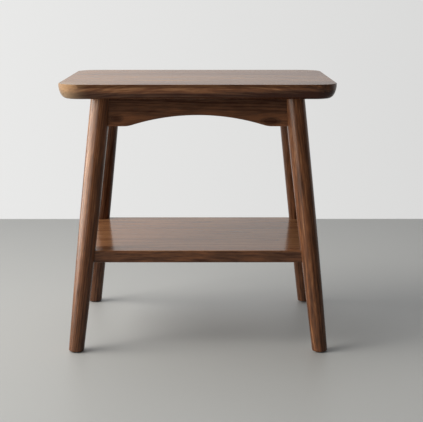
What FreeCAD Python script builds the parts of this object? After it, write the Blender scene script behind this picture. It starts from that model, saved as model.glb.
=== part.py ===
import FreeCAD, Part
import math
import os

Vector = FreeCAD.Vector

# End table with a shelf: a solid walnut top on four splayed, turned legs, an apron frame with
# arched lower edges, and a shelf held between the legs. The legs come off for packing: each is
# drawn by bolts into a corner block and into a corner of the shelf.
#
# Millimetres. The origin is on the floor under the middle of the table, +X runs to the right,
# +Y to the back and +Z up. The front of the table faces -Y.

# ---------------------------------------------------------------- driving dimensions

# Table top
table_height = 555.0
top_width = 560.0
top_depth = 440.0
top_thickness = 30.0
top_corner_radius = 46.0
top_under_curve = 16.0          # how far the edge curves in on its way down
top_edge_land = 1.0             # upright strip above that curve
top_arris_round = 0.8           # small round on the upper edge

# Legs
leg_inset_x = 82.0              # from the edge of the top to a leg's centre, under the top
leg_inset_y = 86.0
leg_splay_x = 55.5              # how far the leg's centre moves outward down to the floor
leg_splay_y = 64.0
leg_top_diameter = 42.0
leg_floor_diameter = 31.4
leg_foot_round = 2.5

# Aprons
apron_height = 61.0
apron_thickness = 20.0
apron_edge_round = 2.0
apron_end_flat = 49.0           # from the leg centres to where the arch begins
front_arch_rise = 23.0
side_arch_rise = 13.0
arch_ease_radius = 58.0         # the soft turn from the flat into the arch

# Shelf
shelf_top_height = 210.0
shelf_thickness = 25.0
shelf_proud = 5.0               # how far the shelf's edges stand outside the leg centres
shelf_edge_round = 1.5

# Corner blocks and the hanger bolts that draw the legs to them
block_height = 40.0
block_thickness = 22.0
block_drop = 5.0                # below the underside of the top
block_leg_gap = 6.0
block_screw_edge = 9.0          # from the block's upper and lower faces to its screws
leg_bolt_diameter = 8.0
leg_bolt_skin = 12.0            # wood left between the bolt's point and the leg's outside
leg_bolt_past_nut = 3.9
leg_washer_diameter = 16.0
leg_nut_across_flats = 13.0
leg_nut_height = 6.5

# Hanger bolts that draw the legs to the shelf, with their nuts in pockets under it
shelf_bolt_diameter = 6.0
shelf_bolt_skin = 12.0
shelf_bolt_past_nut = 5.7
shelf_bolt_web = 22.0           # wood between a leg and the nut pocket
shelf_washer_diameter = 12.0
shelf_nut_across_flats = 10.0
shelf_nut_height = 5.0
pocket_length = 30.0
pocket_width = 24.0
pocket_headroom = 1.5           # above the washer

washer_thickness = 1.6
bolt_tip_length = 5.0
bolt_end_chamfer = 1.0

# Pan-head screws that hold the corner blocks to the aprons
block_screw_diameter = 4.0
block_screw_head_diameter = 8.0
block_screw_head_height = 2.6
block_screw_counterbore = 6.5   # depth of the counterbore along the screw
block_screw_skin = 7.0          # wood left between the screw's point and the apron's outside

# Figure-eight plates that hold the top, with a countersunk screw in each of their discs
plate_disc_diameter = 18.0
plate_centres = 16.0
plate_neck = 10.0
plate_thickness = 2.5
plate_skin = 2.5                # wood left between the plate's recess and the apron's outside
plate_from_leg = 91.0           # along the front and back aprons, from the leg centres
plate_screw_diameter = 4.0
plate_screw_head_diameter = 8.0
apron_screw_length = 25.0
top_screw_length = 18.0
screw_tip_length = 3.0

# Nail-on glides under the legs
glide_diameter = 22.0
glide_thickness = 2.0
glide_edge_round = 0.8
nail_diameter = 2.4
nail_length = 18.0
nail_head_diameter = 7.0
nail_head_height = 0.8
nail_head_recess = 0.5          # the head stays this far above the floor

# Clearances
cope_clearance = 0.2            # between a turned leg and the wood shaped around it
thread_clearance = 0.05         # around a screw, bolt or nail in its own hole
bolt_hole_clearance = 0.5       # around a bolt that passes through wood
plate_clearance = 0.5           # around a figure-eight plate in its recess
washer_clearance = 0.2          # around a bolt in its washer
counterbore_clearance = 0.5     # around a screw head

# ---------------------------------------------------------------- derived places

leg_top_z = table_height - top_thickness
leg_foot_z = glide_thickness
leg_top_radius = leg_top_diameter / 2
leg_floor_radius = leg_floor_diameter / 2
apron_bottom_z = leg_top_z - apron_height
shelf_bottom_z = shelf_top_height - shelf_thickness
block_top_z = leg_top_z - block_drop
leg_bolt_z = block_top_z - block_height / 2
shelf_bolt_z = shelf_top_height - shelf_thickness / 2
plate_set_in = apron_thickness - plate_skin - plate_clearance - plate_disc_diameter / 2
block_screw_seat = block_thickness / math.sqrt(2) - block_screw_counterbore
block_screw_length = block_screw_seat + apron_thickness - block_screw_skin
block_screw_rise = block_height / 2 - block_screw_edge

CORNERS = {
    "front_left": (-1, -1),
    "front_right": (1, -1),
    "back_left": (-1, 1),
    "back_right": (1, 1),
}


def leg_centre(side_x, side_y, height):
    """The centre of a leg at a height above the floor."""
    below_top = 1 - height / leg_top_z
    x = top_width / 2 - leg_inset_x + leg_splay_x * below_top
    y = top_depth / 2 - leg_inset_y + leg_splay_y * below_top
    return Vector(side_x * x, side_y * y, height)


def leg_radius(height):
    """The radius of a leg at a height: a parabola, fullest where the leg meets the top."""
    below_top = 1 - height / leg_top_z
    return leg_top_radius - (leg_top_radius - leg_floor_radius) * below_top ** 2


def inward(side_x, side_y):
    """The level direction from a leg to the middle of the table, at 45 degrees."""
    return Vector(-side_x, -side_y, 0).normalize()


# The aprons are centred on the legs half-way up their own height.
apron_centre = leg_centre(1, 1, apron_bottom_z + apron_height / 2)
apron_inner_x = apron_centre.x - apron_thickness / 2
apron_inner_y = apron_centre.y - apron_thickness / 2

# Along each bolt, measured from the centre of its leg: how deep it stands in the leg, and the
# wood face that its washer sits on.
leg_bolt_in_leg = 2 * leg_radius(leg_bolt_z) - leg_bolt_skin
leg_bolt_seat = leg_radius(leg_bolt_z) + block_leg_gap + block_thickness
shelf_bolt_in_leg = 2 * leg_radius(shelf_bolt_z) - shelf_bolt_skin
shelf_bolt_seat = leg_radius(shelf_bolt_z) + shelf_bolt_web


# ---------------------------------------------------------------- shaping helpers

def turned(outline):
    """A solid turned about the Z axis, from (radius, height) points in order."""
    points = [Vector(radius, 0, height) for radius, height in outline]
    face = Part.Face(Part.makePolygon(points + points[:1]))
    return face.revolve(Vector(0, 0, 0), Vector(0, 0, 1), 360)


def placed(shape, origin, direction):
    """The shape, made on the Z axis, with its axis running from origin along direction."""
    shape.Placement = FreeCAD.Placement(origin, FreeCAD.Rotation(Vector(0, 0, 1), direction))
    return shape


def bored(shape, radius, origin, direction, depth):
    """The shape with a round hole from origin along direction."""
    return shape.cut(Part.makeCylinder(radius, depth, origin, direction))


def prism(points, direction):
    """A solid with straight sides: a closed outline pushed along direction."""
    return Part.Face(Part.makePolygon(points + points[:1])).extrude(direction)


def quarter_ellipse(start, corner, end):
    """A quarter of an ellipse that leaves start towards corner and arrives at end."""
    curve = Part.BezierCurve()
    curve.setPoles([start, corner, end])
    curve.setWeight(2, math.sqrt(0.5))
    return curve.toShape()


# ---------------------------------------------------------------- table top

def top_edge_section(reach):
    """The upright section of the top's edge: reach from its inner side to its outer side."""
    curve_top = table_height - top_arris_round - top_edge_land
    inner_low = Vector(0, 0, leg_top_z)
    curve_start = Vector(reach - top_under_curve, 0, leg_top_z)
    curve_end = Vector(reach, 0, curve_top)
    arris_start = Vector(reach, 0, table_height - top_arris_round)
    arris_end = Vector(reach - top_arris_round, 0, table_height)
    inner_high = Vector(0, 0, table_height)
    edges = [
        Part.makeLine(inner_low, curve_start),
        quarter_ellipse(curve_start, Vector(reach, 0, leg_top_z), curve_end),
        Part.makeLine(curve_end, arris_start),
        quarter_ellipse(arris_start, Vector(reach, 0, table_height), arris_end),
        Part.makeLine(arris_end, inner_high),
        Part.makeLine(inner_high, inner_low),
    ]
    return Part.Face(Part.Wire(edges))


def rounded_board_top():
    """The blank of the top: a middle, four edge strips and four turned corners."""
    straight_x = top_width - 2 * top_corner_radius
    straight_y = top_depth - 2 * top_corner_radius
    corner = Vector(-straight_x / 2, -straight_y / 2, leg_top_z)
    middle = Part.makeBox(straight_x, straight_y, top_thickness, corner)
    parts = []
    for turn in range(4):
        across = turn % 2 == 1
        run = straight_x if across else straight_y
        offset = straight_y / 2 if across else straight_x / 2
        strip = top_edge_section(top_corner_radius).extrude(Vector(0, run, 0))
        strip.translate(Vector(offset, -run / 2, 0))
        knuckle = top_edge_section(top_corner_radius)
        knuckle = knuckle.revolve(Vector(0, 0, 0), Vector(0, 0, 1), 90)
        knuckle.translate(Vector(offset, run / 2, 0))
        for piece in (strip, knuckle):
            piece.rotate(Vector(0, 0, 0), Vector(0, 0, 1), 90 * turn)
            parts.append(piece)
    return middle.fuse(parts).removeSplitter()


def plate_places():
    """Where the figure-eight plates sit: the middle of the disc on the apron, and the way in."""
    set_y = apron_inner_y + plate_set_in
    set_x = apron_inner_x + plate_set_in
    from_middle = apron_centre.x - plate_from_leg
    places = []
    for side in (-1, 1):
        for along in (-from_middle, from_middle):
            places.append((Vector(along, side * set_y, leg_top_z), Vector(0, -side, 0)))
        places.append((Vector(side * set_x, 0, leg_top_z), Vector(-side, 0, 0)))
    return places


def table_top():
    """The top, drilled from below for the screws of the figure-eight plates."""
    board = rounded_board_top()
    depth = top_screw_length - plate_thickness + screw_tip_length
    for origin, way in plate_places():
        centre = origin + way * plate_centres
        radius = plate_screw_diameter / 2 + thread_clearance
        board = bored(board, radius, centre, Vector(0, 0, 1), depth)
    return board


# ---------------------------------------------------------------- legs

def leg_blank(side_x, side_y, extra=0.0):
    """A turned leg with spare length at both ends, or with extra, the hollow that it needs."""
    foot = leg_centre(side_x, side_y, 0.0)
    axis = leg_centre(side_x, side_y, leg_top_z) - foot
    slant = axis.Length / leg_top_z
    spare = leg_top_radius
    low = -spare
    high = leg_top_z + spare
    middle = (low + high) / 2
    low_radius = leg_radius(low) + extra
    high_radius = leg_radius(high) + extra
    middle_pole = 2 * (leg_radius(middle) + extra) - (low_radius + high_radius) / 2
    side = Part.BezierCurve()
    side.setPoles([
        Vector(low_radius, 0, low * slant),
        Vector(middle_pole, 0, middle * slant),
        Vector(high_radius, 0, high * slant),
    ])
    axis_low = Vector(0, 0, low * slant)
    axis_high = Vector(0, 0, high * slant)
    edges = [
        Part.makeLine(axis_low, Vector(low_radius, 0, low * slant)),
        side.toShape(),
        Part.makeLine(Vector(high_radius, 0, high * slant), axis_high),
        Part.makeLine(axis_high, axis_low),
    ]
    blank = Part.Face(Part.Wire(edges)).revolve(Vector(0, 0, 0), Vector(0, 0, 1), 360)
    return placed(blank, foot, axis)


def leg(side_x, side_y):
    """A leg, cut level at both ends, eased at the foot and drilled for its bolts and nail."""
    far = Vector(-top_width, -top_depth, leg_foot_z)
    slab = Part.makeBox(2 * top_width, 2 * top_depth, leg_top_z - leg_foot_z, far)
    body = leg_blank(side_x, side_y).common(slab)
    near_foot = leg_foot_z + leg_foot_round / 2
    rim = [edge for edge in body.Edges if edge.BoundBox.ZMax < near_foot]
    body = body.makeFillet(leg_foot_round, rim)
    for z, radius, in_leg in (
        (leg_bolt_z, leg_bolt_diameter / 2, leg_bolt_in_leg),
        (shelf_bolt_z, shelf_bolt_diameter / 2, shelf_bolt_in_leg),
    ):
        way = inward(side_x, side_y)
        start = leg_centre(side_x, side_y, z) + way * (leg_radius(z) - in_leg)
        body = bored(body, radius + thread_clearance, start, way, 2 * in_leg)
    nail_hole = nail_diameter / 2 + thread_clearance
    foot = leg_centre(side_x, side_y, leg_foot_z)
    return bored(body, nail_hole, foot, Vector(0, 0, 1), nail_length)


# ---------------------------------------------------------------- aprons

def arched_board(half_length, half_arch, rise):
    """An apron blank along X, centred on Y, with an arch eased into its lower edge."""
    arch_radius = (half_arch ** 2 + rise ** 2) / (2 * rise) - arch_ease_radius
    arch_top = apron_bottom_z + rise
    ease_centre = Vector(half_arch, 0, apron_bottom_z + arch_ease_radius)
    arch_centre = Vector(0, 0, arch_top - arch_radius)
    toward_arch = (arch_centre - ease_centre).normalize()
    ease_end = ease_centre + toward_arch * arch_ease_radius
    ease_way = (toward_arch + Vector(0, 0, -1)).normalize()
    ease_middle = ease_centre + ease_way * arch_ease_radius
    flat_end = Vector(half_arch, 0, apron_bottom_z)
    end_low = Vector(half_length, 0, apron_bottom_z)
    end_high = Vector(half_length, 0, leg_top_z)

    def mirrored(point):
        return Vector(-point.x, point.y, point.z)

    lower_edge = [
        Part.makeLine(end_low, flat_end),
        Part.Arc(flat_end, ease_middle, ease_end).toShape(),
        Part.Arc(ease_end, Vector(0, 0, arch_top), mirrored(ease_end)).toShape(),
        Part.Arc(mirrored(ease_end), mirrored(ease_middle), mirrored(flat_end)).toShape(),
        Part.makeLine(mirrored(flat_end), mirrored(end_low)),
    ]
    rest = [
        Part.makeLine(mirrored(end_low), mirrored(end_high)),
        Part.makeLine(mirrored(end_high), end_high),
        Part.makeLine(end_high, end_low),
    ]
    board = Part.Face(Part.Wire(lower_edge + rest)).extrude(Vector(0, apron_thickness, 0))
    board.translate(Vector(0, -apron_thickness / 2, 0))
    below = arch_top + apron_edge_round
    long_low = [
        edge for edge in board.Edges
        if edge.BoundBox.ZMax < below and edge.BoundBox.YLength < apron_edge_round
    ]
    return board.makeFillet(apron_edge_round, long_low)


def plate_solid(origin, way, extra):
    """A figure-eight plate, let in below the top, or with extra, the recess that it needs."""
    centre = Vector(origin.x, origin.y, leg_top_z - plate_thickness)
    radius = plate_disc_diameter / 2 + extra
    far_centre = centre + way * plate_centres
    discs = [Part.makeCylinder(radius, plate_thickness, place) for place in (centre, far_centre)]
    half_neck = way.cross(Vector(0, 0, 1)) * (plate_neck / 2 + extra)
    neck = prism(
        [centre - half_neck, far_centre - half_neck, far_centre + half_neck, centre + half_neck],
        Vector(0, 0, plate_thickness),
    )
    return discs[0].fuse([discs[1], neck]).removeSplitter()


def block_reach():
    """The faces of a corner block across the diagonal, each as the sum of its x and its y."""
    centre = leg_centre(1, 1, leg_bolt_z)
    near = (leg_bolt_seat - block_thickness) * math.sqrt(2)
    far = leg_bolt_seat * math.sqrt(2)
    return centre.x + centre.y - near, centre.x + centre.y - far


def block_screw_lines():
    """The corner blocks' screws: a point on the apron's inner face and the way into the apron."""
    lines = []
    for side_x, side_y in CORNERS.values():
        near, far = block_reach()
        on_front = (near + far) / 2 - apron_inner_y
        on_side = (near + far) / 2 - apron_inner_x
        for z in (leg_bolt_z - block_screw_rise, leg_bolt_z + block_screw_rise):
            front_point = Vector(side_x * on_front, side_y * apron_inner_y, z)
            side_point = Vector(side_x * apron_inner_x, side_y * on_side, z)
            lines.append((front_point, Vector(0, side_y, 0)))
            lines.append((side_point, Vector(side_x, 0, 0)))
    return lines


def fitted_apron(board):
    """An apron with its ends coped to the legs, its plates let in and its screws drilled."""
    for side_x, side_y in CORNERS.values():
        board = board.cut(leg_blank(side_x, side_y, cope_clearance))
    plate_screw_radius = plate_screw_diameter / 2 + thread_clearance
    screw_depth = apron_screw_length + screw_tip_length
    for origin, way in plate_places():
        board = board.cut(plate_solid(origin, way, plate_clearance))
        board = bored(board, plate_screw_radius, origin, Vector(0, 0, -1), screw_depth)
    block_screw_radius = block_screw_diameter / 2 + thread_clearance
    block_screw_depth = block_screw_length - block_screw_seat + screw_tip_length / 2
    for point, way in block_screw_lines():
        board = bored(board, block_screw_radius, point, way, block_screw_depth)
    return board


def apron_along_x(side_y):
    """The front or back apron."""
    half_length = apron_centre.x
    board = arched_board(half_length, half_length - apron_end_flat, front_arch_rise)
    board.translate(Vector(0, side_y * apron_centre.y, 0))
    return fitted_apron(board)


def apron_along_y(side_x):
    """The left or right apron."""
    half_length = apron_centre.y
    board = arched_board(half_length, half_length - apron_end_flat, side_arch_rise)
    board.rotate(Vector(0, 0, 0), Vector(0, 0, 1), 90)
    board.translate(Vector(side_x * apron_centre.x, 0, 0))
    return fitted_apron(board)


# ---------------------------------------------------------------- corner blocks

def corner_block(side_x, side_y):
    """A block across the corner of the frame, flat against both aprons."""
    near, far = block_reach()
    plan = [
        (apron_inner_x, near - apron_inner_x),
        (apron_inner_x, far - apron_inner_x),
        (far - apron_inner_y, apron_inner_y),
        (near - apron_inner_y, apron_inner_y),
    ]
    low = block_top_z - block_height
    points = [Vector(side_x * x, side_y * y, low) for x, y in plan]
    block = prism(points, Vector(0, 0, block_height))
    bolt_hole = leg_bolt_diameter / 2 + bolt_hole_clearance
    centre = leg_centre(side_x, side_y, leg_bolt_z)
    block = bored(block, bolt_hole, centre, inward(side_x, side_y), 2 * leg_bolt_seat)
    screw_radius = block_screw_diameter / 2 + thread_clearance
    head_radius = block_screw_head_diameter / 2 + counterbore_clearance
    for point, way in block_screw_lines():
        seat = point - way * block_screw_seat
        block = bored(block, screw_radius, seat, way, block_screw_seat)
        block = bored(block, head_radius, seat, way * -1, block_thickness)
    return block


# ---------------------------------------------------------------- shelf

def shelf():
    """The shelf: a board coped around the legs, with nut pockets under its corners."""
    centre = leg_centre(1, 1, shelf_bolt_z)
    half_x = centre.x + shelf_proud
    half_y = centre.y + shelf_proud
    corner = Vector(-half_x, -half_y, shelf_bottom_z)
    board = Part.makeBox(2 * half_x, 2 * half_y, shelf_thickness, corner)
    level = [edge for edge in board.Edges if edge.BoundBox.ZLength < shelf_thickness / 2]
    board = board.makeFillet(shelf_edge_round, level)
    pocket_top = shelf_bolt_z + shelf_washer_diameter / 2 + pocket_headroom
    bolt_hole = shelf_bolt_diameter / 2 + bolt_hole_clearance
    for side_x, side_y in CORNERS.values():
        board = board.cut(leg_blank(side_x, side_y, cope_clearance))
        way = inward(side_x, side_y)
        across = way.cross(Vector(0, 0, 1)) * (pocket_width / 2)
        on_axis = leg_centre(side_x, side_y, shelf_bolt_z)
        start = on_axis + way * shelf_bolt_seat
        start.z = shelf_bottom_z
        end = start + way * pocket_length
        pocket = prism(
            [start - across, end - across, end + across, start + across],
            Vector(0, 0, pocket_top - shelf_bottom_z),
        )
        board = board.cut(pocket)
        board = bored(board, bolt_hole, on_axis, way, shelf_bolt_seat + washer_thickness)
    return board


# ---------------------------------------------------------------- hardware

def hanger_bolt(diameter, length):
    """A hanger bolt on the Z axis: a pointed end for wood at 0, a chamfered end for a nut."""
    radius = diameter / 2
    return turned([
        (0, 0),
        (radius, bolt_tip_length),
        (radius, length - bolt_end_chamfer),
        (radius - bolt_end_chamfer, length),
        (0, length),
    ])


def washer(diameter, bolt_diameter):
    """A flat washer on the Z axis."""
    bore = bolt_diameter / 2 + washer_clearance
    return turned([
        (bore, 0),
        (diameter / 2, 0),
        (diameter / 2, washer_thickness),
        (bore, washer_thickness),
    ])


def hex_nut(across_flats, height, bolt_diameter):
    """A hexagon nut on the Z axis, its corners turned back at both ends."""
    corner_radius = across_flats / math.sqrt(3)
    chamfer = corner_radius - across_flats / 2
    points = []
    for corner in range(6):
        angle = math.radians(60 * corner)
        points.append(Vector(corner_radius * math.cos(angle), corner_radius * math.sin(angle), 0))
    hexagon = prism(points, Vector(0, 0, height))
    barrel = turned([
        (0, 0),
        (corner_radius - chamfer, 0),
        (corner_radius, chamfer),
        (corner_radius, height - chamfer),
        (corner_radius - chamfer, height),
        (0, height),
    ])
    bore = bolt_diameter / 2 + thread_clearance
    return bored(hexagon.common(barrel), bore, Vector(0, 0, 0), Vector(0, 0, 1), height)


def at_each_corner(make, z, reach):
    """Four copies of a turned piece, on the diagonals at height z and reach from the leg."""
    pieces = []
    for side_x, side_y in CORNERS.values():
        way = inward(side_x, side_y)
        origin = leg_centre(side_x, side_y, z) + way * reach
        pieces.append(placed(make(), origin, way))
    return pieces


def bolt_set(z, in_leg, seat, bolt_diameter, washer_size, nut_flats, nut_height, past_nut):
    """The bolts, washers and nuts of the four corners at one height, as three lists."""
    nut_start = seat + washer_thickness
    start = leg_radius(z) - in_leg
    length = nut_start + nut_height + past_nut - start
    return (
        at_each_corner(lambda: hanger_bolt(bolt_diameter, length), z, start),
        at_each_corner(lambda: washer(washer_size, bolt_diameter), z, seat),
        at_each_corner(lambda: hex_nut(nut_flats, nut_height, bolt_diameter), z, nut_start),
    )


def leg_bolt_set():
    """The hanger bolts from the legs through the corner blocks."""
    return bolt_set(
        leg_bolt_z, leg_bolt_in_leg, leg_bolt_seat, leg_bolt_diameter,
        leg_washer_diameter, leg_nut_across_flats, leg_nut_height, leg_bolt_past_nut,
    )


def shelf_bolt_set():
    """The hanger bolts from the legs into the pockets of the shelf."""
    return bolt_set(
        shelf_bolt_z, shelf_bolt_in_leg, shelf_bolt_seat, shelf_bolt_diameter,
        shelf_washer_diameter, shelf_nut_across_flats, shelf_nut_height, shelf_bolt_past_nut,
    )


def pan_head_screw():
    """A screw on the Z axis: the head below 0, the shank above it, pointed at its end."""
    radius = block_screw_diameter / 2
    head_radius = block_screw_head_diameter / 2
    crown = head_radius / 2
    return turned([
        (0, -block_screw_head_height),
        (crown, -block_screw_head_height),
        (head_radius, -block_screw_head_height / 2),
        (head_radius, 0),
        (radius, 0),
        (radius, block_screw_length - screw_tip_length),
        (0, block_screw_length),
    ])


def countersunk_screw(length, extra=0.0):
    """A countersunk screw on the Z axis, its head flush at 0, or the hole that it needs."""
    radius = plate_screw_diameter / 2 + extra
    head_radius = plate_screw_head_diameter / 2 + extra
    return turned([
        (0, 0),
        (head_radius, 0),
        (radius, head_radius - radius),
        (radius, length - screw_tip_length),
        (0, length),
    ])


def top_fixings():
    """The figure-eight plates and their screws, as three groups."""
    plates = []
    apron_screws = []
    top_screws = []
    down = Vector(0, 0, -1)
    up = Vector(0, 0, 1)
    for origin, way in plate_places():
        below = origin + way * plate_centres
        below.z = leg_top_z - plate_thickness
        plate = plate_solid(origin, way, 0.0)
        apron_hole = placed(countersunk_screw(apron_screw_length, thread_clearance), origin, down)
        top_hole = placed(countersunk_screw(top_screw_length, thread_clearance), below, up)
        plates.append(plate.cut(apron_hole).cut(top_hole))
        apron_screws.append(placed(countersunk_screw(apron_screw_length), origin, down))
        top_screws.append(placed(countersunk_screw(top_screw_length), below, up))
    return {
        "figure_eight_plates": plates,
        "plate_screws_into_aprons": apron_screws,
        "plate_screws_into_top": top_screws,
    }


def block_screws():
    """The pan-head screws of the four corner blocks."""
    screws = []
    for point, way in block_screw_lines():
        screws.append(placed(pan_head_screw(), point - way * block_screw_seat, way))
    return screws


# ---------------------------------------------------------------- glides

def glide(side_x, side_y):
    """A glide under a leg, with its nail's head let in from below."""
    radius = glide_diameter / 2
    shank = nail_diameter / 2 + thread_clearance
    head = nail_head_diameter / 2 + thread_clearance
    head_seat = nail_head_recess + nail_head_height
    pad = turned([
        (head, 0),
        (radius - glide_edge_round, 0),
        (radius, glide_edge_round),
        (radius, glide_thickness),
        (shank, glide_thickness),
        (shank, head_seat),
        (head, head_seat),
    ])
    foot = leg_centre(side_x, side_y, leg_foot_z)
    pad.translate(Vector(foot.x, foot.y, 0))
    return pad


def glide_nails():
    """The nails that hold the glides."""
    head_seat = nail_head_recess + nail_head_height
    nails = []
    for side_x, side_y in CORNERS.values():
        nail = turned([
            (0, nail_head_recess),
            (nail_head_diameter / 2, nail_head_recess),
            (nail_head_diameter / 2, head_seat),
            (nail_diameter / 2, head_seat),
            (nail_diameter / 2, nail_head_recess + nail_length - nail_diameter),
            (0, nail_head_recess + nail_length),
        ])
        foot = leg_centre(side_x, side_y, leg_foot_z)
        nail.translate(Vector(foot.x, foot.y, 0))
        nails.append(nail)
    return nails


# ---------------------------------------------------------------- the whole table

def all_pieces():
    """Every piece of the table, by name."""
    pieces = {
        "table_top": [table_top()],
        "apron_front": [apron_along_x(-1)],
        "apron_back": [apron_along_x(1)],
        "apron_left": [apron_along_y(-1)],
        "apron_right": [apron_along_y(1)],
        "shelf": [shelf()],
        "corner_block_screws": block_screws(),
        "glide_nails": glide_nails(),
    }
    for corner, (side_x, side_y) in CORNERS.items():
        pieces["leg_" + corner] = [leg(side_x, side_y)]
        pieces["corner_block_" + corner] = [corner_block(side_x, side_y)]
        pieces["foot_glide_" + corner] = [glide(side_x, side_y)]
    for place, bolts in (("leg", leg_bolt_set()), ("shelf", shelf_bolt_set())):
        pieces[place + "_hanger_bolts"], pieces[place + "_bolt_washers"], nuts = bolts
        pieces[place + "_bolt_nuts"] = nuts
    pieces.update(top_fixings())
    return pieces


os.makedirs("parts", exist_ok=True)
for piece_name, solids in all_pieces().items():
    shape = solids[0] if len(solids) == 1 else Part.makeCompound(solids)
    shape.exportStep("parts/" + piece_name + ".step")
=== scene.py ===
import math

import bmesh
import bpy
from mathutils import Matrix, Vector


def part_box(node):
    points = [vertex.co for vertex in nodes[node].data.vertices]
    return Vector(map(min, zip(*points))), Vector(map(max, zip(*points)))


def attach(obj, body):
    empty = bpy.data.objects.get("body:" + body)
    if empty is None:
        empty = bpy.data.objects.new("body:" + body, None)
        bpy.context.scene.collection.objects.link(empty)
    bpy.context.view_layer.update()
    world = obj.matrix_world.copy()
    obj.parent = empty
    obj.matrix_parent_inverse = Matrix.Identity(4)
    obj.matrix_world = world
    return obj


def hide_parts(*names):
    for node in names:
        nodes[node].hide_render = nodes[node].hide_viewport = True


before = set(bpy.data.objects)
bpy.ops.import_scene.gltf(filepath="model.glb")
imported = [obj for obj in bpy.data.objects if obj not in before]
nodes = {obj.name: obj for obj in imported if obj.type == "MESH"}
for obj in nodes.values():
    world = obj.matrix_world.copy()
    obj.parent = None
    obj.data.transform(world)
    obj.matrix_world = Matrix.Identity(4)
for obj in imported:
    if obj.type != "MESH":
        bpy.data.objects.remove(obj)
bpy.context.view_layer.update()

# End table with a shelf, in oiled walnut. Metres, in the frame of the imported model: the floor is
# at z = 0, the front of the table faces -Y.

X = Vector((1, 0, 0))
Y = Vector((0, 1, 0))
Z = Vector((0, 0, 1))

# ---------------------------------------------------------------- colours and nodes


def linear(hex_colour):
    """A linear colour with alpha from an sRGB hex colour."""
    parts = [int(hex_colour[i:i + 2], 16) / 255 for i in (1, 3, 5)]
    return [p / 12.92 if p <= 0.04045 else ((p + 0.055) / 1.055) ** 2.4 for p in parts] + [1.0]


def add_node(tree, kind, inputs=(), stops=(), **settings):
    """Adds a node. inputs maps its sockets to values, to sockets or to other nodes.

    stops are the places on a colour ramp, each with its hex colour.
    """
    made = tree.nodes.new("ShaderNode" + kind)
    for setting, value in settings.items():
        setattr(made, setting, value)
    for socket, value in dict(inputs).items():
        if isinstance(value, bpy.types.Node):
            value = value.outputs[0]
        if isinstance(value, bpy.types.NodeSocket):
            tree.links.new(value, made.inputs[socket])
        else:
            made.inputs[socket].default_value = value
    for place, _ in stops[1:-1]:
        made.color_ramp.elements.new(place)
    if stops:
        for stop, (place, hex_colour) in zip(made.color_ramp.elements, stops):
            stop.position = place
            stop.color = linear(hex_colour)
    return made


def new_material(name):
    """A material with an empty node tree, and the tree."""
    material = bpy.data.materials.new(name)
    material.use_nodes = True
    material.node_tree.nodes.clear()
    return material, material.node_tree


def finish_material(tree, shader):
    """Gives the shader to the material."""
    add_node(tree, "OutputMaterial", {"Surface": shader})


# ---------------------------------------------------------------- walnut
#
# American black walnut, planed or turned, sanded and oiled to a satin surface. The pattern is
# solid, as in the tree: growth rings round a pith that lies outside the board, so a face shows
# long streaks and arches, and an end shows the rings cut across.

RING_WIDTH = 0.0042       # one year's growth
SPURT_RATE = 0.21         # turns per year between years of fast and slow growth
SPURT_REACH = 3.0         # and how many years' growth they add up to
BAND_WIDTH = 0.022        # darker and paler years in groups
FIBRE_LENGTH = 0.110      # streaks of colour along the grain
FIBRE_WIDTH = 0.0040
HAIR_LENGTH = 0.028       # the fine lines between them, drawn coarser than the 0.2 mm real ones
HAIR_WIDTH = 0.0016
FLECK_LENGTH = 0.060      # flecks where the wood's rays are cut
FLECK_WIDTH = 0.0075
PORE_LENGTH = 0.012       # open pores, drawn three times as wide as the real ones to show at all
PORE_WIDTH = 0.0009
PORE_CROWDING = 0.55      # how close together they lie
WANDER_RATE = (1.3, 9.0, 9.0)       # turns per metre of the grain as it wanders, along and across
WANDER_REACH = (0.0, 0.034, 0.034)  # and how far it wanders
BOARD_SHIFT = (2.0, 0.11, 0.06)     # how far apart in the tree a panel's boards are cut
GLUE_LINE = 0.0005        # half the width of the line between two boards

WALNUT_TONES = ((0.0, "#3C1D0F"), (0.30, "#583B2A"), (0.62, "#7B4F35"), (1.0, "#AE7F58"))
# The colour of the pale painted highlights.
PAINTED_HIGHLIGHT_COLOUR = "#C7A985"
PORE_COLOUR = "#1D100A"
END_COLOUR = "#2A180F"

# Where the wood's tone lies on the ramp, and how much the parts of its pattern move it.
MIDDLE_TONE = 0.485
LATE_WOOD_TONE = -0.20
FIBRE_TONE = 0.55
HAIR_TONE = 0.50
LINES_MEAN = 0.455        # what these three add up to on average
BAND_MEAN = 0.5           # and the groups of years
BOARD_TONE = 0.10
KNOT_TONE = -0.36
KNOT_BULGE = 0.012        # how far the rings swell round a knot
KNOT_FADE = (0.3, 2.2)    # where a knot starts and ends to fade, in parts of its size
SPOT_FADE = (0.2, 1.6)    # and a pale or dark spot

OILED_ROUGHNESS = 0.21
PORE_DEPTH = 0.00006


def bend(tree, grain, length, rise):
    """Bends the grain with the square of the length, so that a flat face cuts it in arches."""
    squared = add_node(tree, "Math", {0: length, 1: 2.0}, operation="POWER")
    raised = add_node(tree, "Math", {0: squared, 1: rise}, operation="MULTIPLY")
    lift = add_node(tree, "CombineXYZ", {2: raised})
    return add_node(tree, "VectorMath", {0: grain, 1: lift}, operation="ADD")


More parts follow.
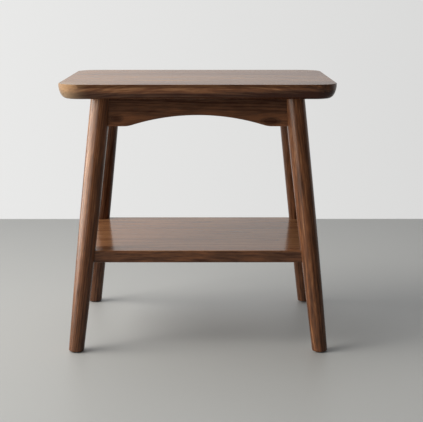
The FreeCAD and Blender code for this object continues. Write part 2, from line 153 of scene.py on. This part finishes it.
def glued_boards(tree, axes, width, seed):
    """Boards of one width, glued edge to edge, each from another part of the tree.

    Gives the place in the tree, how much paler each board is, and the glue lines.
    """
    count = add_node(tree, "Math", {0: axes.outputs[1], 1: width}, operation="DIVIDE")
    board = add_node(tree, "Math", {0: count}, operation="ROUND")
    middle = add_node(tree, "Math", {0: board, 1: width}, operation="MULTIPLY")
    inside = add_node(tree, "Math", {0: axes.outputs[1], 1: middle}, operation="SUBTRACT")
    key = add_node(tree, "Math", {0: board, 1: seed}, operation="ADD")
    chance = add_node(tree, "TexWhiteNoise", {"W": key}, noise_dimensions="1D")
    in_board = add_node(tree, "CombineXYZ", {
        0: axes.outputs[0], 1: inside, 2: axes.outputs[2]})
    in_tree = add_node(tree, "VectorMath", {
        0: chance.outputs["Color"], 1: BOARD_SHIFT, 2: in_board}, operation="MULTIPLY_ADD")
    in_tree = add_node(tree, "VectorMath", {
        0: in_tree, 1: (0.0, -BOARD_SHIFT[1] / 2, 0.0)}, operation="ADD")
    paler = add_node(tree, "Math", {
        0: chance.outputs["Value"], 1: BOARD_TONE, 2: -BOARD_TONE / 2}, operation="MULTIPLY_ADD")
    edge = add_node(tree, "Math", {0: inside}, operation="ABSOLUTE")
    glue_line = add_node(tree, "MapRange", {
        0: edge, 1: width / 2 - GLUE_LINE, 2: width / 2 - 0.4 * GLUE_LINE, 3: 0.0, 4: 1.0})
    return in_tree, paler, glue_line


def soft_oval(tree, local, oval, strength, fade, easing):
    """A spot that fades out from its middle, right through the board.

    oval is its middle along and across the grain, then half its length and half its width.
    """
    at_length, at_across, half_length, half_width = oval
    moved = add_node(tree, "VectorMath", {
        0: local, 1: (-at_length, -at_across, 0.0)}, operation="ADD")
    sized = add_node(tree, "VectorMath", {
        0: moved, 1: (1 / half_length, 1 / half_width, 0.0)}, operation="MULTIPLY")
    far = add_node(tree, "VectorMath", {0: sized}, operation="LENGTH")
    return add_node(tree, "MapRange", {
        0: far.outputs["Value"], 1: fade[0], 2: fade[1], 3: strength, 4: 0.0},
        interpolation_type=easing)


def late_wood(tree, radius):
    """Growth rings: pale early wood that darkens to a line at each year's end."""
    year = add_node(tree, "Math", {0: radius, 1: RING_WIDTH}, operation="DIVIDE")
    uneven = add_node(tree, "TexNoise", {
        "W": year, "Scale": SPURT_RATE, "Detail": 1.0}, noise_dimensions="1D")
    year = add_node(tree, "Math", {0: uneven, 1: SPURT_REACH, 2: year}, operation="MULTIPLY_ADD")
    season = add_node(tree, "Math", {0: year}, operation="FRACT")
    late = add_node(tree, "FloatCurve", {"Value": season})
    curve = late.mapping.curves[0]
    curve.points[0].location = (0.0, 0.25)
    curve.points[1].location = (1.0, 0.30)
    curve.points.new(0.12, 0.0)
    curve.points.new(0.50, 0.22)
    curve.points.new(0.90, 1.0)
    late.mapping.update()
    return late


def grain_lines(tree, grain, length, width, detail, roughness):
    """Soft lines along the grain, of one length and one width."""
    drawn_out = add_node(tree, "VectorMath", {
        0: grain, 1: (1 / length, 1 / width, 1 / width)}, operation="MULTIPLY")
    return add_node(tree, "TexNoise", {
        "Vector": drawn_out, "Scale": 1.0, "Detail": detail, "Roughness": roughness})


def open_pores(tree, grain):
    """Short dark grooves along the grain."""
    drawn_out = add_node(tree, "VectorMath", {
        0: grain, 1: (1 / PORE_LENGTH, 1 / PORE_WIDTH, 1 / PORE_WIDTH)}, operation="MULTIPLY")
    cell = add_node(tree, "TexVoronoi", {"Vector": drawn_out, "Scale": PORE_CROWDING})
    return add_node(tree, "MapRange", {
        0: cell.outputs["Distance"], 1: 0.10, 2: 0.26, 3: 1.0, 4: 0.0},
        interpolation_type="SMOOTHSTEP")


def ray_flecks(tree, grain, broad, end, on_edge, on_face):
    """Short flecks where the wood's rays are cut, paler and darker than the wood round them.

    A board's edge is cut along the rays and shows more of them than its broad face. Its ends
    show none.
    """
    fleck = grain_lines(tree, grain, FLECK_LENGTH, FLECK_WIDTH, 3.0, 0.65)
    fleck = add_node(tree, "Math", {0: fleck, 1: 0.5}, operation="SUBTRACT")
    part = add_node(tree, "MapRange", {0: broad, 1: 0.0, 2: 1.0, 3: on_edge, 4: on_face})
    beside_end = add_node(tree, "Math", {0: 1.0, 1: end}, operation="SUBTRACT")
    part = add_node(tree, "Math", {0: part, 1: beside_end}, operation="MULTIPLY")
    return add_node(tree, "Math", {0: fleck, 1: part}, operation="MULTIPLY")


def paint_low_shade(tree, fibre, depth, low, high, darker, paler, ragged):
    """Painted shade low in a board, where its faces turn down from the light, with painted light
    above it and a ragged line between.
    """
    depth = add_node(tree, "Math", {0: fibre, 1: ragged, 2: depth}, operation="MULTIPLY_ADD")
    return add_node(tree, "MapRange", {
        0: depth, 1: low + ragged / 2, 2: high + ragged / 2, 3: darker, 4: paler},
        interpolation_type="SMOOTHSTEP")


def walnut(name, along, across, origin, pith, seed, boards=None, taper=0.02, sweep=0.0, arch=0.0,
           figure=1.2, streaks=1.0, flecks=(0.5, 0.5), tone_shift=0.0, fade=0.0, lean=0.0,
           low_shade=None, knots=(), spots=(), painted_highlights=(), roughness_shift=0.0, sheen=0.10):
    """Walnut with its grain along one direction, and another across it. Places count from origin.

    pith: the tree's middle, across and through the board.
    seed: picks the board.
    boards: the width of the boards that a glued panel is made of.
    taper: how fast the tree narrows along its length, which tilts the rings.
    sweep, arch: how far the rings and the flecks bend, per metre of length squared.
    figure, streaks: how strongly the groups of years and the lines show.
    flecks: how strongly they show on the edges and on the broad faces.
    tone_shift: how much paler the wood is.
    fade, lean: painted light and shade: how much paler it gets per metre along and across.
    low_shade: painted shade low in the board and painted light above it: the heights between which
    the shade ends, how much it and the rest change the tone, and how ragged its line is.
    knots: small dark knots, each an oval.
    spots, painted_highlights: ovals that change the tone or paint a pale highlight, each with its
    strength.
    roughness_shift: how much rougher its oiled surface is.
    sheen: how much its sanded fibres shine.
    """
    material, tree = new_material(name)
    along = Vector(along).normalized()
    across = Vector(across).normalized()
    through = along.cross(across)
    turn = Matrix((along, across, through))
    where = add_node(tree, "TexCoord").outputs["Object"]
    local = add_node(tree, "Mapping", {
        "Vector": where, "Location": -(turn @ Vector(origin)), "Rotation": turn.to_euler()})
    axes = add_node(tree, "SeparateXYZ", {0: local})
    length = axes.outputs[0]
    width = axes.outputs[1]
    depth = axes.outputs[2]
    normal = add_node(tree, "NewGeometry").outputs["Normal"]
    broad = add_node(tree, "VectorMath", {0: normal, 1: through}, operation="DOT_PRODUCT")
    broad = add_node(tree, "Math", {0: broad.outputs["Value"]}, operation="ABSOLUTE")
    end = add_node(tree, "VectorMath", {0: normal, 1: along}, operation="DOT_PRODUCT")
    end = add_node(tree, "Math", {0: end.outputs["Value"]}, operation="ABSOLUTE")
    end = add_node(tree, "Math", {0: end, 1: 4.0}, operation="POWER")

    # The grain winds round the pith, and wanders as the tree grew.
    grain = local
    if boards:
        grain, board_tone, glue_line = glued_boards(tree, axes, boards, seed)
    grain = add_node(tree, "VectorMath", {0: grain, 1: (0.0, -pith[0], -pith[1])}, operation="ADD")
    grain = bend(tree, grain, length, sweep)
    slow = add_node(tree, "VectorMath", {0: grain, 1: WANDER_RATE}, operation="MULTIPLY")
    wander = add_node(tree, "TexNoise", {
        "Vector": slow, "W": seed, "Scale": 1.0, "Detail": 2.0}, noise_dimensions="4D")
    grain = add_node(tree, "VectorMath", {
        0: wander.outputs["Color"], 1: WANDER_REACH, 2: grain}, operation="MULTIPLY_ADD")
    outward = add_node(tree, "VectorMath", {0: grain, 1: (0.0, 1.0, 1.0)}, operation="MULTIPLY")
    radius = add_node(tree, "VectorMath", {0: outward}, operation="LENGTH").outputs["Value"]
    radius = add_node(tree, "Math", {0: length, 1: taper, 2: radius}, operation="MULTIPLY_ADD")
    knot_parts = [soft_oval(tree, local, knot, 1.0, KNOT_FADE, "SMOOTHERSTEP") for knot in knots]
    for part in knot_parts:
        radius = add_node(tree, "Math", {
            0: part, 1: KNOT_BULGE, 2: radius}, operation="MULTIPLY_ADD")

    late = late_wood(tree, radius)
    band = add_node(tree, "TexNoise", {
        "W": radius, "Scale": 1 / BAND_WIDTH, "Detail": 2.0, "Roughness": 0.6},
        noise_dimensions="1D")
    fibre = grain_lines(tree, grain, FIBRE_LENGTH, FIBRE_WIDTH, 2.0, 0.55)
    hair = grain_lines(tree, grain, HAIR_LENGTH, HAIR_WIDTH, 1.0, 0.5)
    pore = open_pores(tree, grain)
    fleck = ray_flecks(tree, bend(tree, grain, length, arch), broad, end, *flecks)

    # What the bands and the lines add up to on average is taken off, so that their strength
    # doesn't make the wood paler.
    middle = MIDDLE_TONE + tone_shift - BAND_MEAN * figure - LINES_MEAN * streaks
    tone = add_node(tree, "Math", {0: band, 1: figure, 2: middle}, operation="MULTIPLY_ADD")
    tones = [(late, LATE_WOOD_TONE * streaks), (fibre, FIBRE_TONE * streaks),
             (hair, HAIR_TONE * streaks), (fleck, 1.0), (length, fade), (width, lean)]
    if boards:
        tones.append((board_tone, 1.0))
    # Painted shade low in the board, with painted light above it.
    if low_shade:
        tones.append((paint_low_shade(tree, fibre, depth, *low_shade), 1.0))
    for *oval, strength in spots:
        tones.append((soft_oval(tree, local, oval, strength, SPOT_FADE, "SMOOTHSTEP"), 1.0))
    for part in knot_parts:
        tones.append((part, KNOT_TONE))
    for part, weight in tones:
        tone = add_node(tree, "Math", {0: part, 1: weight, 2: tone}, operation="MULTIPLY_ADD")

    colour = add_node(tree, "ValToRGB", {"Fac": tone}, stops=WALNUT_TONES)
    stains = []
    # Pale painted highlights.
    for *oval, strength in painted_highlights:
        spot = soft_oval(tree, local, oval, strength, SPOT_FADE, "SMOOTHSTEP")
        stains.append((spot, 1.0, PAINTED_HIGHLIGHT_COLOUR))
    stains.append((pore, 0.45, PORE_COLOUR))
    if boards:
        stains.append((glue_line, 0.5, PORE_COLOUR))
    # End grain drinks more oil and turns out darker and duller.
    stains.append((end, 0.35, END_COLOUR))
    for part, strength, hex_colour in stains:
        amount = add_node(tree, "Math", {0: part, 1: strength}, operation="MULTIPLY")
        colour = add_node(tree, "Mix", {
            "Factor": amount, 6: colour, 7: linear(hex_colour)}, data_type="RGBA").outputs[2]

    roughness = OILED_ROUGHNESS + roughness_shift
    for part, weight in ((fibre, 0.08), (pore, 0.10), (end, 0.12)):
        roughness = add_node(tree, "Math", {
            0: part, 1: weight, 2: roughness}, operation="MULTIPLY_ADD")
    relief = add_node(tree, "Math", {0: hair, 1: 0.25}, operation="MULTIPLY")
    relief = add_node(tree, "Math", {0: relief, 1: pore}, operation="SUBTRACT")
    bump = add_node(tree, "Bump", {"Height": relief, "Strength": 0.5, "Distance": PORE_DEPTH})
    # Oil leaves no film on the wood, so it mirrors less than varnish does.
    finish_material(tree, add_node(tree, "BsdfPrincipled", {
        "Base Color": colour, "Roughness": roughness, "Normal": bump, "IOR": 1.45,
        "Specular IOR Level": 0.30, "Sheen Weight": sheen, "Sheen Roughness": 0.45,
        "Sheen Tint": linear("#E0A878")}))
    return material


def dress(node_name, material):
    """Gives a CAD node its finish."""
    for place in nodes[node_name].material_slots:
        place.material = material


top_low, top_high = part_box("table_top")
# The top is painted paler to the left, where the light comes from. Its edge is painted darker low
# down, where it turns under, and paler above, and a painted shade darkens its front right corner
# while a painted highlight lights its front left corner.
dress("table_top", walnut(
    "oiled_walnut_top", X, Y, (0, 0, top_low.z), (0.0, -0.045), 3.0, boards=0.088,
    sweep=0.22, arch=0.40, figure=0.5, streaks=0.75, flecks=(1.3, 0.1), tone_shift=0.22,
    fade=-0.45, low_shade=(0.009, 0.020, -0.62, 0.10, 0.008),
    spots=((0.25, -0.20, 0.06, 0.06, -0.22),), painted_highlights=((-0.275, -0.205, 0.040, 0.05, 0.50),),
    sheen=0.0))

shelf_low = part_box("shelf")[0]
# The shelf's edges are painted darker than its top face, a painted shade.
dress("shelf", walnut(
    "oiled_walnut_shelf", X, Y, (0, 0, shelf_low.z), (0.0, -0.05), 11.0, boards=0.0908,
    arch=0.25, figure=0.5, streaks=0.55, flecks=(1.35, 0.0), tone_shift=0.29,
    low_shade=(0.0225, 0.0245, -0.45, 0.0, 0.0), roughness_shift=-0.10, sheen=0.0))

# The front apron has two small knots, and painted shade that darkens it upwards, under the top.
front_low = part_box("apron_front")[0]
dress("apron_front", walnut(
    "oiled_walnut_apron_front", X, Z, (0, front_low.y, front_low.z), (0.030, -0.050), 5.0,
    figure=0.7, streaks=0.8, flecks=(0.8, 0.8), tone_shift=0.01, lean=-4.5,
    knots=((0.149, 0.011, 0.013, 0.0055), (-0.167, 0.0165, 0.010, 0.005))))

# The other aprons are plain and a little darker.
for node_name, along, pith, seed in (
        ("apron_back", X, (0.012, -0.055), 7.0), ("apron_left", Y, (0.02, -0.05), 9.0),
        ("apron_right", Y, (0.04, -0.06), 13.0)):
    low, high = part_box(node_name)
    middle = (low + high) / 2
    dress(node_name, walnut(
        "oiled_walnut_" + node_name, along, Z, (middle.x, middle.y, low.z), pith, seed,
        tone_shift=-0.12))

# On which side of the table each corner lies, along X and Y.
CORNERS = {"front_left": (-1, -1), "front_right": (1, -1),
           "back_left": (-1, 1), "back_right": (1, 1)}
# Each leg has its own tone shift and flecks, and a fade and lean of painted light and shade, by
# which it gets paler upwards and to the left, where more light falls.
LEG_TONES_AND_PAINTED_LIGHT = {"front_left": (-0.11, 0.7, 0.6, 8.0), "front_right": (-0.20, 1.0, 0.6, 0.0),
              "back_left": (-0.15, 0.9, 0.0, 0.0), "back_right": (-0.05, 0.9, 0.0, 0.0)}
# How far the legs' heads stand in from the sides and the front of the top.
LEG_INSET_X = 0.082
LEG_INSET_Y = 0.086

for index, (corner, (side_x, side_y)) in enumerate(CORNERS.items()):
    low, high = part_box("foot_glide_" + corner)
    foot = (low + high) / 2
    head = Vector((
        side_x * (top_high.x - LEG_INSET_X), side_y * (top_high.y - LEG_INSET_Y), top_low.z))
    axis = (head - foot).normalized()
    sideways = axis.cross(Y).normalized()
    tone_shift, fleck, fade, lean = LEG_TONES_AND_PAINTED_LIGHT[corner]
    dress("leg_" + corner, walnut(
        "oiled_walnut_leg_" + corner, axis, sideways, foot,
        (0.030 * side_x, 0.05 + 0.012 * index), 17.0 + index, taper=0.03,
        flecks=(fleck, fleck), tone_shift=tone_shift, fade=fade, lean=-lean * sideways.x))
    block_low, block_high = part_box("corner_block_" + corner)
    slant = Vector((side_x, -side_y, 0))
    dress("corner_block_" + corner, walnut(
        "walnut_corner_block_" + corner, slant, Z, (block_low + block_high) / 2,
        (0.01, 0.05), 23.0 + index))

# ---------------------------------------------------------------- steel and nylon

ZINC_TONES = ((0.3, "#AEB7C0"), (0.5, "#BEC1C2"), (0.7, "#C8C4B6"))
ZINC_CAST_SIZE = 0.006
ZINC_CLOUD_SIZE = 0.002
ZINC_PIT_SIZE = 0.0004
ZINC_PIT_DEPTH = 0.00002
NYLON_SCUFF_SIZE = 0.003
NYLON_PEBBLE_SIZE = 0.0004
NYLON_PEBBLE_DEPTH = 0.00003


def zinc_plate():
    """Bright zinc plate on cold-formed steel, with a clear passivation.

    It is silvery, clouded by a faint blue and straw cast from the passivation, and finely
    pitted from the bath. The pits are drawn coarser than the 0.05 mm real ones.
    """
    material, tree = new_material("bright_zinc_plated_steel")
    where = add_node(tree, "TexCoord").outputs["Object"]
    cast = add_node(tree, "TexNoise", {
        "Vector": where, "Scale": 1 / ZINC_CAST_SIZE, "Detail": 2.0})
    colour = add_node(tree, "ValToRGB", {"Fac": cast}, stops=ZINC_TONES)
    cloud = add_node(tree, "TexNoise", {
        "Vector": where, "Scale": 1 / ZINC_CLOUD_SIZE, "Detail": 3.0})
    roughness = add_node(tree, "Math", {0: cloud, 1: 0.22, 2: 0.20}, operation="MULTIPLY_ADD")
    pits = add_node(tree, "TexNoise", {
        "Vector": where, "Scale": 1 / ZINC_PIT_SIZE, "Detail": 1.0})
    bump = add_node(tree, "Bump", {
        "Height": pits, "Strength": 0.4, "Distance": ZINC_PIT_DEPTH})
    finish_material(tree, add_node(tree, "BsdfPrincipled", {
        "Base Color": colour, "Metallic": 1.0, "Roughness": roughness, "Normal": bump}))
    return material


def moulded_nylon():
    """Dark brown nylon from a spark-eroded mould: matt, with a fine pebbled skin and scuffs.

    The pebbles are drawn coarser than the 0.1 mm real ones.
    """
    material, tree = new_material("moulded_brown_nylon")
    where = add_node(tree, "TexCoord").outputs["Object"]
    scuff = add_node(tree, "TexNoise", {
        "Vector": where, "Scale": 1 / NYLON_SCUFF_SIZE, "Detail": 3.0})
    colour = add_node(tree, "Mix", {
        "Factor": scuff, 6: linear("#3B3029"), 7: linear("#4D4137")}, data_type="RGBA")
    roughness = add_node(tree, "Math", {0: scuff, 1: 0.16, 2: 0.44}, operation="MULTIPLY_ADD")
    pebbles = add_node(tree, "TexVoronoi", {"Vector": where, "Scale": 1 / NYLON_PEBBLE_SIZE})
    bump = add_node(tree, "Bump", {
        "Height": pebbles.outputs["Distance"], "Strength": 0.4, "Distance": NYLON_PEBBLE_DEPTH})
    finish_material(tree, add_node(tree, "BsdfPrincipled", {
        "Base Color": colour.outputs[2], "Roughness": roughness, "Normal": bump, "IOR": 1.53}))
    return material


steel = zinc_plate()
nylon = moulded_nylon()
for node_name in ("leg_bolt_washers", "leg_bolt_nuts", "shelf_bolt_washers", "shelf_bolt_nuts",
                  "figure_eight_plates", "glide_nails"):
    dress(node_name, steel)
for corner in CORNERS:
    dress("foot_glide_" + corner, nylon)

# ---------------------------------------------------------------- screws and bolts

ROUND_SIDES = 32


def alone(piece):
    """Selects one piece and nothing else."""
    bpy.ops.object.select_all(action="DESELECT")
    piece.select_set(True)
    bpy.context.view_layer.objects.active = piece


def settle(piece):
    """Puts a piece's place and turn into its mesh."""
    alone(piece)
    bpy.ops.object.transform_apply(location=True, rotation=True, scale=True)


def combine(piece, operation, other):
    """Joins another piece to this one or cuts it away, and removes the other."""
    alone(piece)
    change = piece.modifiers.new("shape", "BOOLEAN")
    change.operation = operation
    change.solver = "EXACT"
    change.object = other
    bpy.ops.object.modifier_apply(modifier=change.name)
    bpy.data.objects.remove(other)


def turned(name, outline):
    """A piece turned on the Z axis. outline is its radii and heights, from its broad end."""
    radius, height = outline[0]
    bpy.ops.object.select_all(action="DESELECT")
    bpy.ops.mesh.primitive_circle_add(
        vertices=ROUND_SIDES, radius=radius, fill_type="NGON", location=(0, 0, height))
    piece = bpy.context.object
    piece.name = name
    settle(piece)
    bpy.ops.object.mode_set(mode="EDIT")
    bpy.ops.mesh.select_all(action="SELECT")
    for next_radius, next_height in outline[1:]:
        bpy.ops.mesh.extrude_region_move(
            TRANSFORM_OT_translate={"value": (0, 0, next_height - height)})
        if next_radius:
            bpy.ops.transform.resize(
                value=(next_radius / radius, next_radius / radius, 1),
                center_override=(0, 0, next_height))
        else:
            bpy.ops.mesh.merge(type="CENTER")
        radius, height = next_radius, next_height
    bpy.ops.mesh.select_all(action="SELECT")
    bpy.ops.mesh.normals_make_consistent(inside=False)
    bpy.ops.object.mode_set(mode="OBJECT")
    return piece


def add_thread(piece, radius, depth, pitch, start, end, steps):
    """Adds a 60 degree thread to a core on the Z axis, from one height to another.

    Its profile is a triangle with equal sides, whose depth is 1.5 times the radius of the circle
    round it. steps is the number of faces in a turn.
    """
    size = depth / 1.5
    bpy.ops.object.select_all(action="DESELECT")
    bpy.ops.mesh.primitive_circle_add(
        vertices=3, radius=size, fill_type="NOTHING", location=(radius - size, 0, start),
        rotation=(math.pi / 2, math.pi / 2, 0))
    ridge = bpy.context.object
    settle(ridge)
    sweep = ridge.modifiers.new("sweep", "SCREW")
    sweep.screw_offset = pitch
    sweep.iterations = round((end - start) / pitch)
    sweep.steps = steps
    sweep.render_steps = steps
    bpy.ops.object.modifier_apply(modifier=sweep.name)
    bpy.ops.object.mode_set(mode="EDIT")
    bpy.ops.mesh.select_all(action="SELECT")
    bpy.ops.mesh.fill_holes(sides=3)
    bpy.ops.mesh.normals_make_consistent(inside=False)
    bpy.ops.object.mode_set(mode="OBJECT")
    combine(piece, "UNION", ridge)


def cut_cross(piece, face, reach, width, depth):
    """Cuts a cross recess, narrower at its bottom, into a head whose face is at this height."""
    for turn in (0, math.pi / 2):
        bpy.ops.object.select_all(action="DESELECT")
        bpy.ops.mesh.primitive_cube_add(size=1, location=(0, 0, face), rotation=(0, 0, turn))
        bar = bpy.context.object
        bar.scale = (2 * reach, width, 2 * depth)
        settle(bar)
        bpy.ops.object.mode_set(mode="EDIT")
        bpy.ops.mesh.select_all(action="DESELECT")
        bpy.ops.object.mode_set(mode="OBJECT")
        for side in bar.data.polygons:
            side.select = side.normal.z > 0.5
        bpy.ops.object.mode_set(mode="EDIT")
        bpy.ops.transform.resize(value=(0.45, 0.45, 1), center_override=(0, 0, face + depth))
        bpy.ops.object.mode_set(mode="OBJECT")
        combine(piece, "DIFFERENCE", bar)


def fastener_lines(node_name):
    """The point of each fastener in a CAD node, and the middle of its other end."""
    shape = bmesh.new()
    shape.from_mesh(nodes[node_name].data)
    bmesh.ops.remove_doubles(shape, verts=shape.verts, dist=0.000001)
    seen = set()
    lines = []
    for first in shape.verts:
        if first in seen:
            continue
        seen.add(first)
        waiting = [first]
        places = []
        while waiting:
            vertex = waiting.pop()
            places.append(vertex.co.copy())
            for edge in vertex.link_edges:
                other = edge.other_vert(vertex)
                if other not in seen:
                    seen.add(other)
                    waiting.append(other)
        middle = sum(places, Vector()) / len(places)
        point = max(places, key=lambda place: (place - middle).length)
        way = (middle - point).normalized()
        length = max((place - point).dot(way) for place in places)
        lines.append((point, point + way * length))
    shape.free()
    return lines


def set_in_place(pattern, node_name):
    """Copies a fastener to each place in a CAD node. Its broad end is at 0 on the Z axis.

    Each copy is turned a little further than the one before, as if driven home by hand.
    """
    copies = []
    for index, (point, end) in enumerate(fastener_lines(node_name)):
        copy = pattern.copy()
        copy.data = pattern.data.copy()
        bpy.context.scene.collection.objects.link(copy)
        copy.matrix_world = (
            Matrix.Translation(end)
            @ (point - end).to_track_quat("Z", "Y").to_matrix().to_4x4()
            @ Matrix.Rotation(0.9 * index, 4, "Z"))
        copies.append(copy)
    for copy in copies:
        settle(copy)
    for copy in copies:
        copy.select_set(True)
    bpy.ops.object.join()
    piece = bpy.context.object
    piece.name = node_name + "_threaded"
    piece.data.materials.append(steel)
    bpy.ops.object.shade_smooth_by_angle(angle=math.radians(35))
    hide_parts(node_name)
    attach(piece, "root")
    bpy.data.objects.remove(pattern)


def length_of(node_name):
    """The length of the first fastener in a CAD node."""
    point, end = fastener_lines(node_name)[0]
    return (end - point).length


def hanger_bolts(node_name, diameter, pitch):
    """Hanger bolts: a nut's thread at one end, a wood thread at the other, plain between."""
    length = length_of(node_name)
    radius = diameter / 2
    nut_core = radius - 0.0008
    nut_end = 0.45 * length
    wood_core = 0.72 * radius
    wood_start = 0.56 * length
    bolt = turned("hanger_bolt", [
        (radius - 0.001, 0), (radius - 0.00068, 0.0006), (nut_core, 0.001),
        (nut_core, nut_end), (radius, 0.46 * length), (radius, 0.54 * length),
        (wood_core, wood_start), (wood_core, length - 0.005), (0, length)])
    add_thread(bolt, radius, depth=0.00085, pitch=pitch, start=0.0012, end=nut_end, steps=20)
    add_thread(bolt, radius, depth=0.30 * radius, pitch=0.0026, start=wood_start,
               end=length - 0.006, steps=16)
    set_in_place(bolt, node_name)


def wood_screws(node_name, radius, head):
    """Screws with a wood thread and a cross recess. head is the outline of the head."""
    length = length_of(node_name)
    core = 0.66 * radius
    neck = head[-1][1]
    tip = length - 0.003
    screw = turned("wood_screw", head + [(core, neck + 0.0006), (core, tip), (0, length)])
    add_thread(screw, radius, depth=0.36 * radius, pitch=0.0018, start=neck + 0.0012, end=tip,
               steps=12)
    cut_cross(screw, face=0, reach=0.0023, width=0.0012, depth=0.0018)
    set_in_place(screw, node_name)


PAN_HEAD = [(0.0020, 0), (0.0031, 0.0004), (0.0038, 0.0011), (0.0040, 0.0018),
            (0.0040, 0.0026), (0.0020, 0.0026)]
COUNTERSUNK_HEAD = [(0.0040, 0), (0.0040, 0.0001), (0.0020, 0.0021)]

hanger_bolts("leg_hanger_bolts", 0.008, 0.00125)
hanger_bolts("shelf_hanger_bolts", 0.006, 0.0010)
wood_screws("corner_block_screws", 0.002, PAN_HEAD)
wood_screws("plate_screws_into_aprons", 0.002, COUNTERSUNK_HEAD)
wood_screws("plate_screws_into_top", 0.002, COUNTERSUNK_HEAD)

# ---------------------------------------------------------------- floor, light and camera

# How bright the backdrop and the room are, on the left, on the right and in front.
BACKDROP_LEFT = 0.82
BACKDROP_RIGHT = 0.70
BACKDROP_HIGH_RIGHT = 0.50
ROOM_LEFT = 0.96
ROOM_RIGHT = 0.25
ROOM_FRONT = 0.07

CAMERA_PLACE = (0.02356, -2.47918, 0.73412)
CAMERA_PITCH = math.radians(10.845)
CAMERA_TURN = math.radians(-0.110)
LENS = 97.186
FLOOR_BACK = 1.214
FLOOR_REACH = 3.0
TABLE_MIDDLE = Vector((0, 0, 0.35))


def plain_floor():
    """A plain pale floor, smooth enough for a soft reflection."""
    bpy.ops.object.select_all(action="DESELECT")
    bpy.ops.mesh.primitive_plane_add(size=1)
    floor = bpy.context.object
    floor.name = "studio_floor"
    corners = ((-FLOOR_REACH, -FLOOR_REACH), (FLOOR_REACH, -FLOOR_REACH),
               (-FLOOR_REACH, FLOOR_BACK), (FLOOR_REACH, FLOOR_BACK))
    for vertex, (x, y) in zip(floor.data.vertices, corners):
        vertex.co = (x, y, 0)
    material, tree = new_material("pale_floor")
    finish_material(tree, add_node(tree, "BsdfPrincipled", {
        "Base Color": linear("#C4C6C7"), "Roughness": 0.5}))
    floor.data.materials.append(material)


def softbox(name, place, width, height, watts, shines_on=()):
    """A rectangular lamp, pointed at the middle of the table.

    It lights everything but isn't mirrored, so that none glares in the top from a low place. One
    that shines on some nodes is the opposite: it is only mirrored, and only by those nodes.
    """
    lamp = bpy.data.lights.new(name, "AREA")
    lamp.shape = "RECTANGLE"
    lamp.size = width
    lamp.size_y = height
    lamp.energy = watts
    lamp.spread = math.radians(180 if shines_on else 100)
    lamp.color = (1.0, 0.96, 0.88)
    stand = bpy.data.objects.new(name, lamp)
    stand.location = place
    stand.rotation_euler = (TABLE_MIDDLE - Vector(place)).to_track_quat("-Z", "Y").to_euler()
    stand.visible_glossy = bool(shines_on)
    stand.visible_diffuse = not shines_on
    if shines_on:
        stand.light_linking.receiver_collection = bpy.data.collections.new(name + "_on")
        for node_name in shines_on:
            stand.light_linking.receiver_collection.objects.link(nodes[node_name])
    bpy.context.scene.collection.objects.link(stand)


def studio_world():
    """Pale behind the table and to its left, dimmer to its right and in front.

    The backdrop is pale for the camera, and for what mirrors it or lets it through. It dims
    upwards on the right.
    """
    world = bpy.data.worlds.new("studio")
    bpy.context.scene.world = world
    world.use_nodes = True
    tree = world.node_tree
    tree.nodes.clear()
    toward = add_node(tree, "SeparateXYZ", {0: add_node(tree, "TexCoord").outputs["Generated"]})
    right = add_node(tree, "MapRange", {
        0: toward.outputs[2], 1: 0.0, 2: 0.25, 3: BACKDROP_RIGHT, 4: BACKDROP_HIGH_RIGHT})
    seen = add_node(tree, "MapRange", {
        0: toward.outputs[0], 1: -0.2, 2: 0.2, 3: BACKDROP_LEFT, 4: right})
    side = add_node(tree, "MapRange", {
        0: toward.outputs[0], 1: -0.25, 2: 0.25, 3: ROOM_LEFT, 4: ROOM_RIGHT})
    behind = add_node(tree, "MapRange", {
        0: toward.outputs[1], 1: -0.1, 2: 0.5, 3: 0.0, 4: 1.0},
        interpolation_type="SMOOTHSTEP")
    room = add_node(tree, "Math", {0: side, 1: behind, 2: ROOM_FRONT}, operation="MULTIPLY_ADD")
    path = add_node(tree, "LightPath")
    mirrored = add_node(tree, "Math", {
        0: path.outputs["Is Glossy Ray"], 1: path.outputs["Is Transmission Ray"]},
        operation="MAXIMUM")
    mirrored = add_node(tree, "Math", {0: mirrored, 1: behind}, operation="MULTIPLY")
    pale = add_node(tree, "Math", {
        0: path.outputs["Is Camera Ray"], 1: mirrored}, operation="MAXIMUM")
    level = add_node(tree, "Mix", {"Factor": pale, 2: room, 3: seen})
    backdrop = add_node(tree, "Background", {"Color": linear("#FFFFFE"), "Strength": level})
    add_node(tree, "OutputWorld", {"Surface": backdrop})


def camera():
    """The camera, in front of the table and a little above it."""
    view = bpy.data.cameras.new("camera")
    view.lens = LENS
    view.sensor_width = 36.0
    stand = bpy.data.objects.new("camera", view)
    stand.location = CAMERA_PLACE
    stand.rotation_euler = (math.pi / 2 - CAMERA_PITCH, 0, CAMERA_TURN)
    bpy.context.scene.collection.objects.link(stand)
    bpy.context.scene.camera = stand


plain_floor()
studio_world()
softbox("window_light", (-3.16, -0.28, 0.78), width=3.0, height=1.5, watts=29)
softbox("front_window_light", (-2.49, -2.49, 1.10), width=2.8, height=1.6, watts=13)
softbox("high_light", (-1.776, -0.476, 2.188), width=1.6, height=1.6, watts=12)
softbox("side_glow", (-1.888, -0.165, 0.483), width=1.8, height=0.9, watts=46,
        shines_on=("leg_front_left", "leg_back_left"))
softbox("front_glow", (-1.314, -1.314, 0.745), width=1.6, height=0.9, watts=20,
        shines_on=("leg_front_left", "leg_front_right"))
camera()
bpy.context.scene.view_settings.view_transform = "Standard"
